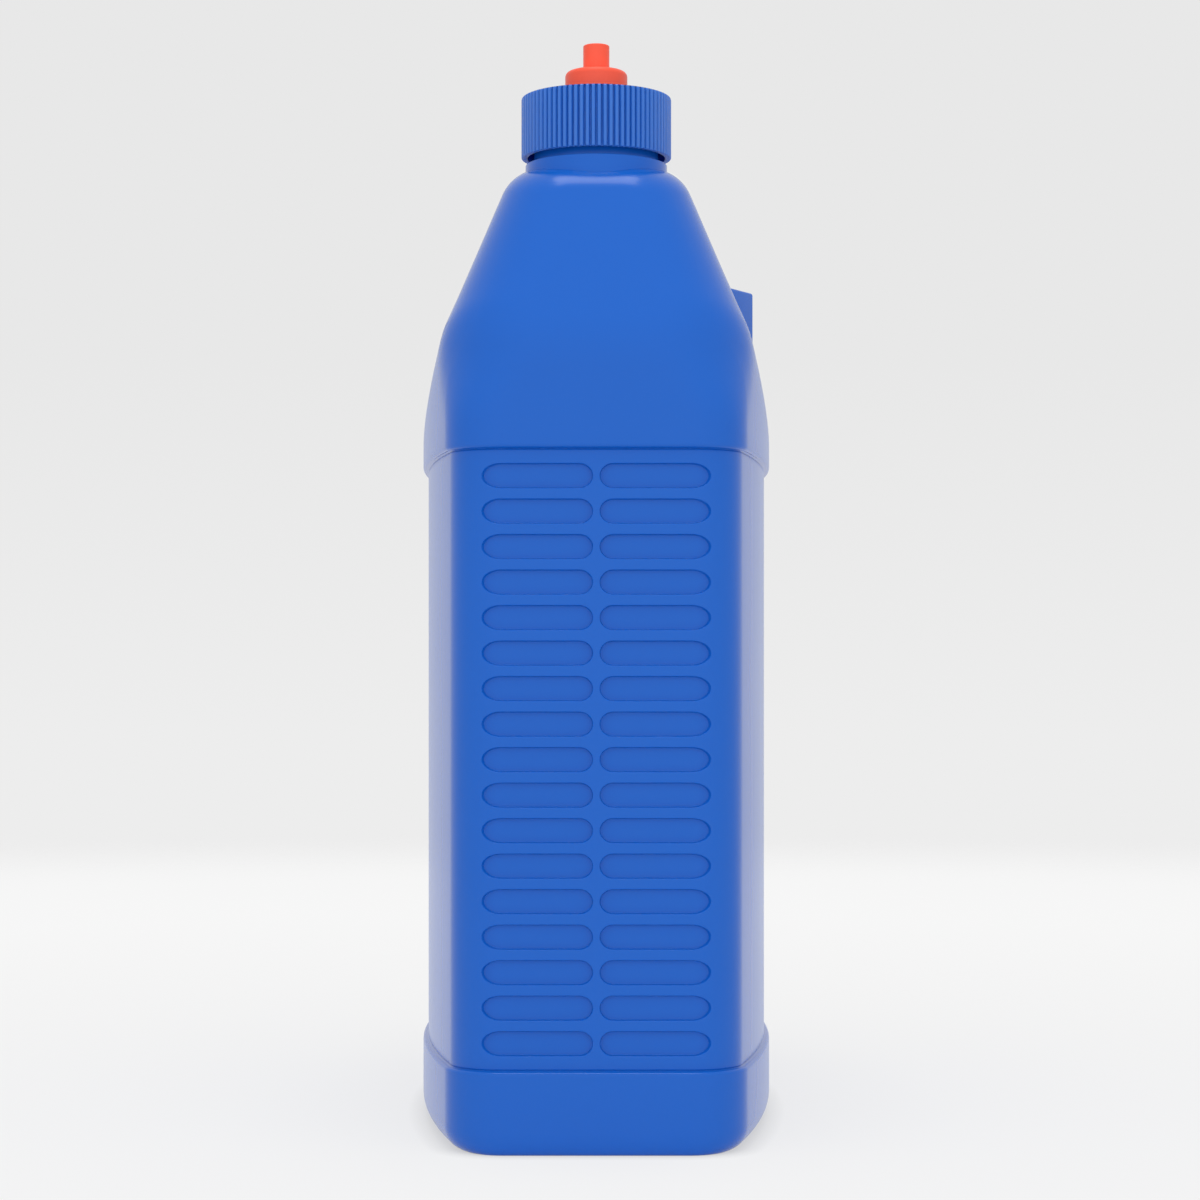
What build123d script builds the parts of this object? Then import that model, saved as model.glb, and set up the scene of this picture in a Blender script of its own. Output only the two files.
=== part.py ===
from build123d import *
import math
import os

# A tall plastic jug for garden liquid, standing on its base with +Z up and its front narrow end at -Y.
# The origin is the middle of the footprint on the ground. All sizes are in millimetres.

# Jug body, seen from above and from the side
WIDTH = 99.0
DEPTH = 210.0
SIDE_BOW_R = 424.0
CORNER_R = 15.5
WALL = 1.3
FOOT_R = 6.0
PLINTH_TOP = 21.5
SHOULDER_BOTTOM = 180.3
RIM_STEP = 1.45
RIM_EDGE_R = 1.3

# Underside, pushed up inside a band that stands on the ground
STANDING_BAND = 13.0
PUSH_UP = 2.0
PUSH_UP_R = 1.2

# Shoulder, with heights above its lower edge: a roof slopes in from both broad sides up to a deck
ROOF_RISE = 9.7
ROOF_START_R = 14.0
DECK_RISE = 18.7
DECK_SIDE_R = 8.0
DECK_BACK_R = 14.0

# Tower that carries the neck, with its depth behind the front end and its tilts in degrees
TOWER_OVERLAP = 4.0
TOWER_BEND_RISE = 27.7
TOWER_BEND_R = 40.0
TOWER_FRONT_TILT = 20.0
TOWER_BACK = 92.0
TOWER_BACK_TILT = 24.0
TOWER_RISE = 77.3
TOWER_TOP_TILT = 6.5
TOWER_CORNER_R = 19.0
TOWER_TOP_R = 11.0
TOWER_LAND = 2.9

# Neck and its collar
COLLAR_FROM_FRONT = 18.6
COLLAR_FLANGE = 2.3
COLLAR_RISE = 0.9
NECK_R = 16.6
NECK_WALL = 2.0
NECK_HEIGHT = 16.1

# Handle, a hollow bar from the tower back and down to the deck
HANDLE_WIDTH = 27.0
HANDLE_THICKNESS = 21.0
HANDLE_EDGE_R = 9.0
HANDLE_BELOW_TOP = 11.0
HANDLE_DROP = 6.0
HANDLE_BEND_R = 34.0
HANDLE_KNEE_GAP = 25.0
HANDLE_FOOT_GAP = 9.0
HANDLE_FOOT_DEPTH = 14.0

# Grip recesses on the front end, two in each row between the two rims
GRIP_PITCH = 9.04
GRIP_RIM_MARGIN = 7.0
GRIP_SIDE_MARGIN = 7.0
GRIP_MIDDLE_GAP = 1.7
GRIP_HEIGHT = 6.35
GRIP_INNER_END = 3.5
GRIP_OUTER_END = 5.0
GRIP_DEPTH = 0.9
GRIP_INSIDE_MARGIN = 0.8

# Side lug
LUG_INSET = 6.5
LUG_BELOW_TOP = 29.9
LUG_FROM_FRONT = 45.0
LUG_RAMP = 15.0
LUG_LENGTH = 25.0

# Cap and the gasket in it
CAP_THREAD_ROOM = 1.75
CAP_SKIRT = 1.1
CAP_SHOULDER_GAP = 1.9
CAP_RIBS = 80
RIB_DEPTH = 0.55
RIB_GROOVE = 0.65
CAP_TOP_EDGE = 0.6
CAP_TOP_EDGE_TILT = 45.0
CAP_TOP_WALL = 1.6
GASKET_THICKNESS = 1.2
GASKET_INNER_R = 12.5
GASKET_CLEARANCE = 0.5

# Turret on the cap, with the plug post that closes the spout
TURRET_R = 5.6
TURRET_WALL = 1.4
BEAD = 0.7
BEAD_HEIGHT = 0.9
POST_R = 1.5
WEBS = 3
WEB_THICKNESS = 1.1
WEB_HEIGHT = 3.0
PLUG_LENGTH = 1.4
PLUG_CLEARANCE = 0.05

# Spout, which slides up the turret to open
SLIDE_CLEARANCE = 0.3
SPOUT_SKIRT = 1.7
SPOUT_BASE_HEIGHT = 6.8
SPOUT_EDGE_R = 1.0
SPOUT_ROOF = 0.9
SPOUT_STEM_R = 3.5
SPOUT_STEM_WALL = 1.05
SPOUT_STEM_HEIGHT = 7.4
SPOUT_STEM_EDGE = 0.35
SPOUT_MOUTH_R = 1.75
SPOUT_MOUTH_LENGTH = 1.7

# Sizes and places that follow from those above
FRONT = -DEPTH / 2
END_HALF_WIDTH = WIDTH / 2 - SIDE_BOW_R + math.sqrt(SIDE_BOW_R**2 - FRONT**2)
ROOF_START = SHOULDER_BOTTOM + ROOF_RISE
DECK_TOP = SHOULDER_BOTTOM + DECK_RISE
TOWER_BEND = SHOULDER_BOTTOM + TOWER_BEND_RISE
TOWER_TOP = SHOULDER_BOTTOM + TOWER_RISE
TOWER_PEAK = TOWER_TOP + TOWER_TOP_R
COLLAR_R = NECK_R + COLLAR_FLANGE
COLLAR_TOP = TOWER_TOP + COLLAR_RISE
NECK_Y = FRONT + COLLAR_FROM_FRONT + COLLAR_R
LIP = TOWER_TOP + NECK_HEIGHT
ROOF_SLOPE = (WIDTH / 2 - COLLAR_R - TOWER_LAND) / (TOWER_TOP - ROOF_START)
GRIP_ROWS = 1 + int((SHOULDER_BOTTOM - PLINTH_TOP - 2 * GRIP_RIM_MARGIN) / GRIP_PITCH)
GRIP_MIDDLE = (PLINTH_TOP + SHOULDER_BOTTOM) / 2
CAP_BORE_R = NECK_R + CAP_THREAD_ROOM
CAP_R = CAP_BORE_R + CAP_SKIRT + RIB_DEPTH
CAP_BOTTOM = COLLAR_TOP + CAP_SHOULDER_GAP
CAP_TOP = LIP + GASKET_THICKNESS + CAP_TOP_WALL
TURRET_HEIGHT = SPOUT_BASE_HEIGHT - SPOUT_ROOF - SLIDE_CLEARANCE
SPOUT_BASE_R = TURRET_R + BEAD + SLIDE_CLEARANCE + SPOUT_SKIRT
SPOUT_TOP = CAP_TOP + SPOUT_BASE_HEIGHT + SPOUT_STEM_HEIGHT
MOUTH_BOTTOM = SPOUT_TOP - SPOUT_MOUTH_LENGTH

# A length beyond the whole jug, for cutters, and a tolerance for finding edges
REACH = 2 * (DEPTH + SPOUT_TOP)
SAME = 0.001

# Out of sight a chamfer stands for a round edge, set back by this share of the round's radius
CHAMFER_SHARE = 2 - math.sqrt(2)


def plan(inset):
    """The footprint: two bowed sides, two flat ends and four round corners."""
    centre = SIDE_BOW_R - WIDTH / 2
    right = Pos(-centre, 0) * Circle(SIDE_BOW_R - inset)
    left = Pos(centre, 0) * Circle(SIDE_BOW_R - inset)
    face = right & left & Rectangle(REACH, DEPTH - 2 * inset)
    return fillet(face.vertices(), CORNER_R - inset)


def upright(face, low, high):
    """A level outline extruded between two heights."""
    return extrude(Pos(0, 0, low) * face, high - low)


def flat_edges(solid, z):
    """The edges of a solid that lie level at one height."""
    level = [edge for edge in solid.edges() if edge.bounding_box().size.Z < SAME]
    return [edge for edge in level if abs(edge.center().Z - z) < SAME]


def softened(solid, edges, radius, inset):
    """Round some edges. Inside the wall a chamfer stands for what is left of the round."""
    if inset == 0:
        return fillet(edges, radius)
    setback = CHAMFER_SHARE * (radius - inset)
    return chamfer(edges, setback) if setback > 0 else solid


def roof_x(z, inset):
    """Half the width between the two roof slopes at one height."""
    return WIDTH / 2 - ROOF_SLOPE * (z - ROOF_START) - inset * math.hypot(1, ROOF_SLOPE)


def roof(inset):
    """The shoulder's cross-section, sloped from the sides up to the deck, run along the depth."""
    side = WIDTH / 2 - inset
    start = ROOF_START - inset * (math.hypot(1, ROOF_SLOPE) - 1) / ROOF_SLOPE
    top = DECK_TOP - inset
    edge = roof_x(top, inset)
    half = Polyline((0, 0), (side, 0), (side, start), (edge, top), (0, top), (0, 0))
    face = make_face(half)
    face += mirror(face, Plane.YZ)
    face = fillet([v for v in face.vertices() if abs(v.Y - start) < SAME], ROOF_START_R - inset)
    face = fillet([v for v in face.vertices() if abs(abs(v.X) - edge) < SAME], DECK_SIDE_R - inset)
    return extrude(Plane.XZ * face, REACH, both=True)


def deck_side(inset):
    """The shoulder's side view, with its round back edge, run across the width."""
    back = DEPTH / 2 - inset
    top = DECK_TOP - inset
    face = make_face(Polyline((-REACH, 0), (back, 0), (back, top), (-REACH, top), close=True))
    face = fillet(face.vertices().group_by(Axis.X)[-1].sort_by(Axis.Y)[-1], DECK_BACK_R - inset)
    return extrude(Plane.YZ * face, REACH, both=True)


def tower_front(inset):
    """The tower seen from the front, narrowing upwards between the two roof slopes, before its lid."""
    low = roof_x(SHOULDER_BOTTOM, inset)
    peak = roof_x(TOWER_PEAK, inset)
    corners = [(-low, SHOULDER_BOTTOM), (low, SHOULDER_BOTTOM), (peak, TOWER_PEAK), (-peak, TOWER_PEAK)]
    return make_face(Polyline(*corners, close=True))


def tower_side(inset):
    """The tower seen from the side: upright in front, then leaning back, and leaning forward behind."""
    front_tilt = math.radians(TOWER_FRONT_TILT)
    back_tilt = math.radians(TOWER_BACK_TILT)
    bend = TOWER_BEND - inset * math.tan(front_tilt / 2)
    front = FRONT + inset
    front_peak = front + (TOWER_PEAK - bend) * math.tan(front_tilt)
    back = FRONT + TOWER_BACK - inset / math.cos(back_tilt)
    back_low = back - (SHOULDER_BOTTOM - DECK_TOP) * math.tan(back_tilt)
    back_peak = back - (TOWER_PEAK - DECK_TOP) * math.tan(back_tilt)
    front_line = [(front, SHOULDER_BOTTOM), (front, bend), (front_peak, TOWER_PEAK)]
    back_line = [(back_peak, TOWER_PEAK), (back_low, SHOULDER_BOTTOM)]
    face = make_face(Polyline(*front_line, *back_line, close=True))
    return fillet([v for v in face.vertices() if abs(v.Y - bend) < SAME], TOWER_BEND_R - inset)


def tower(inset):
    """The tower that narrows to the neck, with round edges and a gently tilted top."""
    solid = extrude(Plane.XZ * tower_front(inset), REACH, both=True)
    solid &= extrude(Plane.YZ * tower_side(inset), REACH, both=True)
    lid = Pos(0, NECK_Y, TOWER_TOP - inset) * Rot(TOWER_TOP_TILT, 0, 0) * Pos(0, 0, REACH / 2)
    solid -= lid * Box(REACH, REACH, REACH)
    steep = [edge for edge in solid.edges() if abs((edge % 0.5).Z) > math.sin(math.radians(45))]
    solid = fillet(steep, TOWER_CORNER_R - inset)
    rim = solid.faces().sort_by(Axis.Z)[-1].edges()
    return fillet(rim, TOWER_TOP_R - inset)


def handle(inset):
    """The handle: an oval bar that leaves the tower's back, bends down and lands on the deck."""
    start = (NECK_Y, TOWER_TOP - HANDLE_BELOW_TOP)
    knee = (DEPTH / 2 - HANDLE_KNEE_GAP, TOWER_TOP - HANDLE_BELOW_TOP - HANDLE_DROP)
    foot = (DEPTH / 2 - HANDLE_FOOT_GAP, DECK_TOP - HANDLE_FOOT_DEPTH)
    route = FilletPolyline(*[(0, y, z) for y, z in (start, knee, foot)], radius=HANDLE_BEND_R)
    section = RectangleRounded(HANDLE_WIDTH - 2 * inset, HANDLE_THICKNESS - 2 * inset, HANDLE_EDGE_R - inset)
    across = Plane(origin=route @ 0, x_dir=(1, 0, 0), z_dir=route % 0)
    return sweep(across * section, path=route)


def lug(inset):
    """The lug on one side of the tower, with a ramp on its front."""
    y0 = FRONT + LUG_FROM_FRONT
    y1 = y0 + LUG_RAMP
    y2 = y0 + LUG_LENGTH - inset
    out = WIDTH / 2 - LUG_INSET - inset
    top = TOWER_TOP - LUG_BELOW_TOP - inset
    root = roof_x(top, 0)
    outline = Polyline((0, y0), (root, y0), (out, y1), (out, y2), (0, y2), close=True)
    return upright(make_face(outline), DECK_TOP, top)


def grip_pair():
    """Two recesses side by side as seen from the front, each with an oval end each way."""
    inner = GRIP_MIDDLE_GAP / 2
    outer = END_HALF_WIDTH - GRIP_SIDE_MARGIN
    bar_start = inner + GRIP_INNER_END
    bar_end = outer - GRIP_OUTER_END
    shape = Pos((bar_start + bar_end) / 2, 0) * Rectangle(bar_end - bar_start, GRIP_HEIGHT)
    shape += Pos(bar_start, 0) * Ellipse(GRIP_INNER_END, GRIP_HEIGHT / 2)
    shape += Pos(bar_end, 0) * Ellipse(GRIP_OUTER_END, GRIP_HEIGHT / 2)
    return shape + mirror(shape, Plane.YZ)


def grip_pad():
    """The plain field behind two recesses, where the inside of the wall steps in with them."""
    width = 2 * (END_HALF_WIDTH - GRIP_SIDE_MARGIN + GRIP_INSIDE_MARGIN)
    return Rectangle(width, GRIP_HEIGHT + 2 * GRIP_INSIDE_MARGIN)


def grip_rows(outline, inset):
    """An outline repeated in every row and run through the front wall to the recess floor."""
    core = upright(plan(inset + RIM_STEP + GRIP_DEPTH), 0, REACH)
    behind_corners = Plane.XZ.offset(-FRONT - 2 * CORNER_R)
    heights = [GRIP_MIDDLE + (row - (GRIP_ROWS - 1) / 2) * GRIP_PITCH for row in range(GRIP_ROWS)]
    return [extrude(behind_corners * Pos(0, z) * outline, REACH) - core for z in heights]


def body_form(inset):
    """The jug's whole form without its neck. An inset gives the hollow inside the wall."""
    plinth = upright(plan(inset), inset, PLINTH_TOP - inset)
    plinth = softened(plinth, flat_edges(plinth, inset), FOOT_R, inset)
    plinth = softened(plinth, flat_edges(plinth, PLINTH_TOP - inset), RIM_EDGE_R, inset)
    bottom = SHOULDER_BOTTOM + inset
    waist = upright(plan(inset + RIM_STEP), inset + FOOT_R, bottom + FOOT_R)
    block = upright(plan(inset), bottom, REACH)
    shoulder = block & roof(inset) & deck_side(inset)
    shoulder = softened(shoulder, flat_edges(shoulder, bottom), RIM_EDGE_R, inset)
    above_root = upright(plan(inset), DECK_TOP - TOWER_OVERLAP, REACH)
    top = tower(inset) & above_root
    return plinth + waist + shoulder + top + (handle(inset) & block) + (lug(inset) & block)


def neck_post(radius, low, high):
    """A round post on the neck's axis between two heights."""
    return upright(Pos(0, NECK_Y) * Circle(radius), low, high)


def jug():
    """The blow-moulded jug: one hollow piece with its grips, lug, handle, collar and neck."""
    root = TOWER_TOP - TOWER_TOP_R
    outside = body_form(0) - grip_rows(grip_pair(), 0)
    outside += neck_post(COLLAR_R, root, COLLAR_TOP)
    outside += neck_post(NECK_R, root, LIP)
    push_up = upright(plan(STANDING_BAND), 0, PUSH_UP)
    outside -= chamfer(flat_edges(push_up, PUSH_UP), CHAMFER_SHARE * PUSH_UP_R)
    hollow = body_form(WALL) - grip_rows(grip_pad(), WALL)
    hollow -= upright(plan(STANDING_BAND - WALL), 0, PUSH_UP + WALL)
    hollow += neck_post(NECK_R - NECK_WALL, root - NECK_WALL, LIP)
    return outside - hollow


def cap():
    """The ribbed screw cap, with a turret and a plug post for the spout."""
    grooves = PolarLocations(CAP_R, CAP_RIBS) * Rectangle(2 * RIB_DEPTH, RIB_GROOVE)
    rib_top = CAP_TOP - CAP_TOP_EDGE
    shell = upright(Circle(CAP_R) - grooves, CAP_BOTTOM, rib_top)
    shell += extrude(Pos(0, 0, rib_top) * Circle(CAP_R), CAP_TOP_EDGE, taper=CAP_TOP_EDGE_TILT)
    under = CAP_TOP - CAP_TOP_WALL
    shell -= upright(Circle(CAP_BORE_R), CAP_BOTTOM, under)
    turret_top = CAP_TOP + TURRET_HEIGHT
    shell += upright(Circle(TURRET_R), CAP_TOP, turret_top)
    shell += upright(Circle(TURRET_R + BEAD), turret_top - BEAD_HEIGHT, turret_top)
    shell -= upright(Circle(TURRET_R - TURRET_WALL), CAP_BOTTOM, turret_top)
    shell += upright(Circle(POST_R), under, MOUTH_BOTTOM)
    shell += upright(Circle(SPOUT_MOUTH_R - PLUG_CLEARANCE), MOUTH_BOTTOM, MOUTH_BOTTOM + PLUG_LENGTH)
    web = Pos(TURRET_R / 2, 0) * Rectangle(TURRET_R, WEB_THICKNESS)
    webs = Sketch() + PolarLocations(0, WEBS) * web
    shell += upright(webs & Circle(TURRET_R), under, under + WEB_HEIGHT)
    return Pos(0, NECK_Y) * shell


def cap_gasket():
    """The flat sealing ring between the neck's lip and the cap."""
    ring = Circle(CAP_BORE_R - GASKET_CLEARANCE) - Circle(GASKET_INNER_R)
    return Pos(0, NECK_Y) * upright(ring, LIP, LIP + GASKET_THICKNESS)


def spout():
    """The push-pull spout: a stem on a round base, hollow to slide over the turret."""
    base_top = CAP_TOP + SPOUT_BASE_HEIGHT
    roof_z = base_top - SPOUT_ROOF
    outside = upright(Circle(SPOUT_BASE_R), CAP_TOP, base_top)
    outside = fillet(flat_edges(outside, base_top), SPOUT_EDGE_R)
    stem = upright(Circle(SPOUT_STEM_R), roof_z, SPOUT_TOP)
    outside += chamfer(flat_edges(stem, SPOUT_TOP), SPOUT_STEM_EDGE)
    hollow = upright(Circle(TURRET_R + SLIDE_CLEARANCE), CAP_TOP, roof_z)
    hollow += upright(Circle(TURRET_R + BEAD + SLIDE_CLEARANCE), CAP_TOP + BEAD_HEIGHT, roof_z)
    hollow += upright(Circle(SPOUT_STEM_R - SPOUT_STEM_WALL), roof_z, MOUTH_BOTTOM)
    hollow += upright(Circle(SPOUT_MOUTH_R), MOUTH_BOTTOM, SPOUT_TOP)
    return Pos(0, NECK_Y) * (outside - hollow)


os.makedirs("parts", exist_ok=True)
for make in (jug, cap, cap_gasket, spout):
    export_step(make(), f"parts/{make.__name__}.step")
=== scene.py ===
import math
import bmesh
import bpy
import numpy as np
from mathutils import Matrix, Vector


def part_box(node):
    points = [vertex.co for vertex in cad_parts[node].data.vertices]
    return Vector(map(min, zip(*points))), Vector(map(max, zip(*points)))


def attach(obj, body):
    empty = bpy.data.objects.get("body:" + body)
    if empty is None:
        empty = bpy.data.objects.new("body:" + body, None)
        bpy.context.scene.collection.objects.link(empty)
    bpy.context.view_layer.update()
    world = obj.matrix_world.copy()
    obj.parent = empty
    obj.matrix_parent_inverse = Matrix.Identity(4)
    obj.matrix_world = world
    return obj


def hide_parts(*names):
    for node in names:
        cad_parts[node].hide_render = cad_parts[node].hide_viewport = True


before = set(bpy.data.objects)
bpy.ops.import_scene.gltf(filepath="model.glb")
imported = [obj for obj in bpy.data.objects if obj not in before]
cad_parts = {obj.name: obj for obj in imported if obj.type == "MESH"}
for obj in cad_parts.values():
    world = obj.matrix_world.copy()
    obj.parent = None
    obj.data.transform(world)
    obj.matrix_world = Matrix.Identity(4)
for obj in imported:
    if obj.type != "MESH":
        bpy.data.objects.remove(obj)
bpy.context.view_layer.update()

# %% [markdown]
# # A blue garden jug, modelled with formulas
#
# The jug is a deep, flat plastic jug that stands on its base and shows its narrow end. It is blown as one
# hollow piece. A ribbed cap with a push-pull spout screws onto its neck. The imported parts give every
# piece its place and size. Here each visible skin is worked out as a smooth surface in numpy, because the
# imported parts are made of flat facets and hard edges, and light shows both on glossy plastic.
#
# All working sizes are in millimetres, and each mesh is turned into metres as it is made.

MM = 0.001
MERGE = 0.002
jug_low, jug_high = (np.array(corner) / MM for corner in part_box("jug"))
cap_low, cap_high = (np.array(corner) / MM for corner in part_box("cap"))
gasket_low, gasket_high = (np.array(corner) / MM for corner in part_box("cap_gasket"))
spout_low, spout_high = (np.array(corner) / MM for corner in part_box("spout"))

HALF_WIDTH = jug_high[0]
HALF_DEPTH = jug_high[1]
LIP = jug_high[2]
NECK_Y = (cap_low[1] + cap_high[1]) / 2
CAP_BOTTOM = cap_low[2]
CAP_TOP = spout_low[2]
CAP_R = cap_high[0]
SPOUT_TOP = spout_high[2]
SPOUT_R = (spout_high[0] - spout_low[0]) / 2
CAP_CEILING = gasket_high[2]
print("jug", jug_high - jug_low, "neck axis at y", NECK_Y, "cap from", CAP_BOTTOM, "to", CAP_TOP)

# %% [markdown]
# ## Mesh helpers
#
# A surface here is a grid: rows run along the shape and columns run round it. The quads between
# neighbours are worked out as one array. Where rows close onto a point or two grids share a border, the
# doubled vertices are merged, so that seams and poles are closed.

# %% Grids to meshes
def grid_quads(rows, columns, wrap_columns=True, wrap_rows=False):
    """Corner numbers of a grid's quads. A corner's number is its row times the columns, plus its column."""
    index = np.arange(rows * columns).reshape(rows, columns)
    if wrap_rows:
        index = np.vstack([index, index[:1]])
    if wrap_columns:
        index = np.hstack([index, index[:, :1]])
    corners = [index[:-1, :-1], index[:-1, 1:], index[1:, 1:], index[1:, :-1]]
    return np.stack(corners, axis=-1).reshape(-1, 4)


def add_piece(name, points, quads, material, body, sharp=None):
    """Make a mesh piece from points in millimetres, merge its doubles, and let it ride on a body."""
    mesh = bpy.data.meshes.new(name)
    mesh.from_pydata((points.reshape(-1, 3) * MM).tolist(), [], quads.tolist())
    work = bmesh.new()
    work.from_mesh(mesh)
    bmesh.ops.remove_doubles(work, verts=work.verts, dist=MERGE * MM)
    open_edges = sum(edge.is_boundary for edge in work.edges)
    volume = work.calc_volume(signed=True) / MM**3
    work.to_mesh(mesh)
    work.free()
    mesh.shade_smooth()
    if sharp is not None:
        mesh.set_sharp_from_angle(angle=math.radians(sharp))
    mesh.materials.append(material)
    piece = bpy.data.objects.new(name, mesh)
    bpy.context.scene.collection.objects.link(piece)
    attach(piece, body)
    print(name, len(mesh.polygons), "faces,", round(volume), "mm3,", open_edges, "open edges")
    return piece


# %% Rounded outlines
def rounded_outline(corners, radii, steps=6):
    """Outline with an arc at each corner.

    Each arc's centre is on the line that halves its corner, at the radius divided by the sine of half
    the angle. The arc's points turn from one tangent point to the other.
    """
    corners = np.array(corners, float)
    radii = np.broadcast_to(np.array(radii, float), len(corners))[:, None]
    back = np.roll(corners, 1, axis=0) - corners
    ahead = np.roll(corners, -1, axis=0) - corners
    back /= np.linalg.norm(back, axis=1, keepdims=True)
    ahead /= np.linalg.norm(ahead, axis=1, keepdims=True)
    half = np.arccos(np.clip((back * ahead).sum(1, keepdims=True), -1, 1)) / 2
    middle = back + ahead
    middle /= np.linalg.norm(middle, axis=1, keepdims=True)
    centre = corners + middle * radii / np.sin(half)
    start = corners + back * radii / np.tan(half) - centre
    end = corners + ahead * radii / np.tan(half) - centre
    turn = np.pi - 2 * half
    share = np.linspace(0, 1, steps)[None, :, None]
    turn = turn[:, :, None]
    arc = np.sin((1 - share) * turn) * start[:, None] + np.sin(share * turn) * end[:, None]
    return (centre[:, None] + arc / np.sin(turn)).reshape(-1, 2)


def revolve(profile, columns):
    """Surface of a closed profile of (radius, height) points turned once about the neck's axis."""
    angle = np.linspace(0, 2 * np.pi, columns, endpoint=False)
    radius, height = profile[:, :1], profile[:, 1:]
    x = radius * np.cos(angle)
    y = NECK_Y + radius * np.sin(angle)
    return np.stack([x, y, np.broadcast_to(height, x.shape)], axis=-1)


# %% [markdown]
# ## Plastics
#
# Blown polyethylene is coloured all the way through, and its skin copies the mould's. So the finish is a
# plain colour with three faint changes on top: a slow drift of the colour where the wall is thicker, a
# patchy gloss, and a very fine unevenness that softens reflections. Noise on Object coordinates makes
# all three, so they stay put when the piece moves.

# %% Node helpers
def map_range(tree, value, from_span, to_span=(0.0, 1.0)):
    """A node that carries a value from one span to another and holds it at the ends."""
    node = tree.nodes.new("ShaderNodeMapRange")
    for name, number in zip(("From Min", "From Max", "To Min", "To Max"), (*from_span, *to_span)):
        node.inputs[name].default_value = number
    tree.links.new(value, node.inputs["Value"])
    return node


def combine(tree, operation, first, second):
    """The result of a math node on one output and either another output or a number."""
    node = tree.nodes.new("ShaderNodeMath")
    node.operation = operation
    tree.links.new(first, node.inputs[0])
    if isinstance(second, float):
        node.inputs[1].default_value = second
    else:
        tree.links.new(second, node.inputs[1])
    return node.outputs["Value"]


# %% Plastic materials
IOR = 1.5
DRIFT_SCALE = 14.0
GLOSS_SPREAD = 0.03
SKIN_ROUGHNESS = 0.18


def plastic(name, colour, roughness, drift, grain_size, grain_depth, specular, skin=0.0):
    """Coloured plastic: noise mixes two near shades, varies the gloss and drives a fine bump."""
    material = bpy.data.materials.new(name)
    material.use_nodes = True
    nodes, links = material.node_tree.nodes, material.node_tree.links
    shader = nodes["Principled BSDF"]
    shader.inputs["IOR"].default_value = IOR
    shader.inputs["Specular IOR Level"].default_value = specular
    shader.inputs["Coat Weight"].default_value = skin
    shader.inputs["Coat Roughness"].default_value = SKIN_ROUGHNESS
    place = nodes.new("ShaderNodeTexCoord")

    slow = nodes.new("ShaderNodeTexNoise")
    slow.inputs["Scale"].default_value = DRIFT_SCALE
    slow.inputs["Detail"].default_value = 3.0
    links.new(place.outputs["Object"], slow.inputs["Vector"])
    shade = nodes.new("ShaderNodeMix")
    shade.data_type = "RGBA"
    lighter = [min(1.0, c * (1 + drift)) for c in colour]
    darker = [c * (1 - drift) for c in colour]
    shade.inputs["A"].default_value = (*darker, 1)
    shade.inputs["B"].default_value = (*lighter, 1)
    links.new(slow.outputs["Fac"], shade.inputs["Factor"])
    links.new(shade.outputs["Result"], shader.inputs["Base Color"])

    spread = (roughness - GLOSS_SPREAD, roughness + GLOSS_SPREAD)
    gloss = map_range(material.node_tree, slow.outputs["Fac"], (0.0, 1.0), spread)
    links.new(gloss.outputs["Result"], shader.inputs["Roughness"])

    grain = nodes.new("ShaderNodeTexNoise")
    grain.inputs["Scale"].default_value = 1 / (grain_size * MM)
    grain.inputs["Detail"].default_value = 2.0
    links.new(place.outputs["Object"], grain.inputs["Vector"])
    bump = nodes.new("ShaderNodeBump")
    bump.inputs["Strength"].default_value = 1.0
    bump.inputs["Distance"].default_value = grain_depth * MM
    links.new(grain.outputs["Fac"], bump.inputs["Height"])
    links.new(bump.outputs["Normal"], shader.inputs["Normal"])
    return material


JUG_BLUE = (0.0030, 0.1150, 0.5600)
# The cap's blue is partly its own colour and partly a painted highlight: it is lighter and greyer than the
# jug's, standing in for the shine of lamps on its rounded ribs.
CAP_BLUE_WITH_PAINTED_HIGHLIGHT = (0.0250, 0.1550, 0.6000)
SPOUT_ORANGE = (0.9900, 0.1050, 0.0520)
LINER_WHITE = (0.80, 0.80, 0.76)
jug_plastic = plastic("jug_plastic", JUG_BLUE, 0.26, 0.02, 0.9, 0.003, 0.14, skin=0.40)
cap_plastic = plastic("cap_plastic", CAP_BLUE_WITH_PAINTED_HIGHLIGHT, 0.24, 0.02, 0.7, 0.002, 0.5)
spout_plastic = plastic("spout_plastic", SPOUT_ORANGE, 0.40, 0.02, 0.7, 0.003, 0.3)
gasket_foam = plastic("gasket_foam", LINER_WHITE, 0.80, 0.04, 0.25, 0.02, 0.3)
print("materials", [m.name for m in bpy.data.materials])

# %% [markdown]
# ## The jug's footprint
#
# Seen from above, the jug has two long sides that bow outwards, two flat ends and four round corners.
# Each column of the skin starts at one point of this outline and keeps the outward direction there, so a
# wall set back by some amount is the same outline moved in along those directions. The columns lie
# closest at the front, where the grip recesses are.

# %% Footprint columns
BOW_R = 424.0
CORNER_R = 15.5
BOW_CENTRE = BOW_R - HALF_WIDTH
CORNER_Y = HALF_DEPTH - CORNER_R
CORNER_X = math.sqrt((BOW_R - CORNER_R) ** 2 - CORNER_Y**2) - BOW_CENTRE
BOW_TURN = math.atan2(CORNER_Y, CORNER_X + BOW_CENTRE)
RIM_STEP = 1.45
WAIST_CORNER_R = CORNER_R - RIM_STEP

GRIP_ROWS = 17
GRIP_PITCH = 9.04
GRIP_HALF_HEIGHT = 3.175
GRIP_INNER_EDGE = 0.85
GRIP_OUTER_EDGE = 29.29
GRIP_INNER_END = 3.5
GRIP_OUTER_END = 5.0
GRIP_DEPTH = 1.2
TILE_EDGE = 31.5
BAR_START = GRIP_INNER_EDGE + GRIP_INNER_END
BAR_END = GRIP_OUTER_EDGE - GRIP_OUTER_END
END_STEPS, BAR_STEPS, SIDE_STEPS = 5, 10, 8


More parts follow.
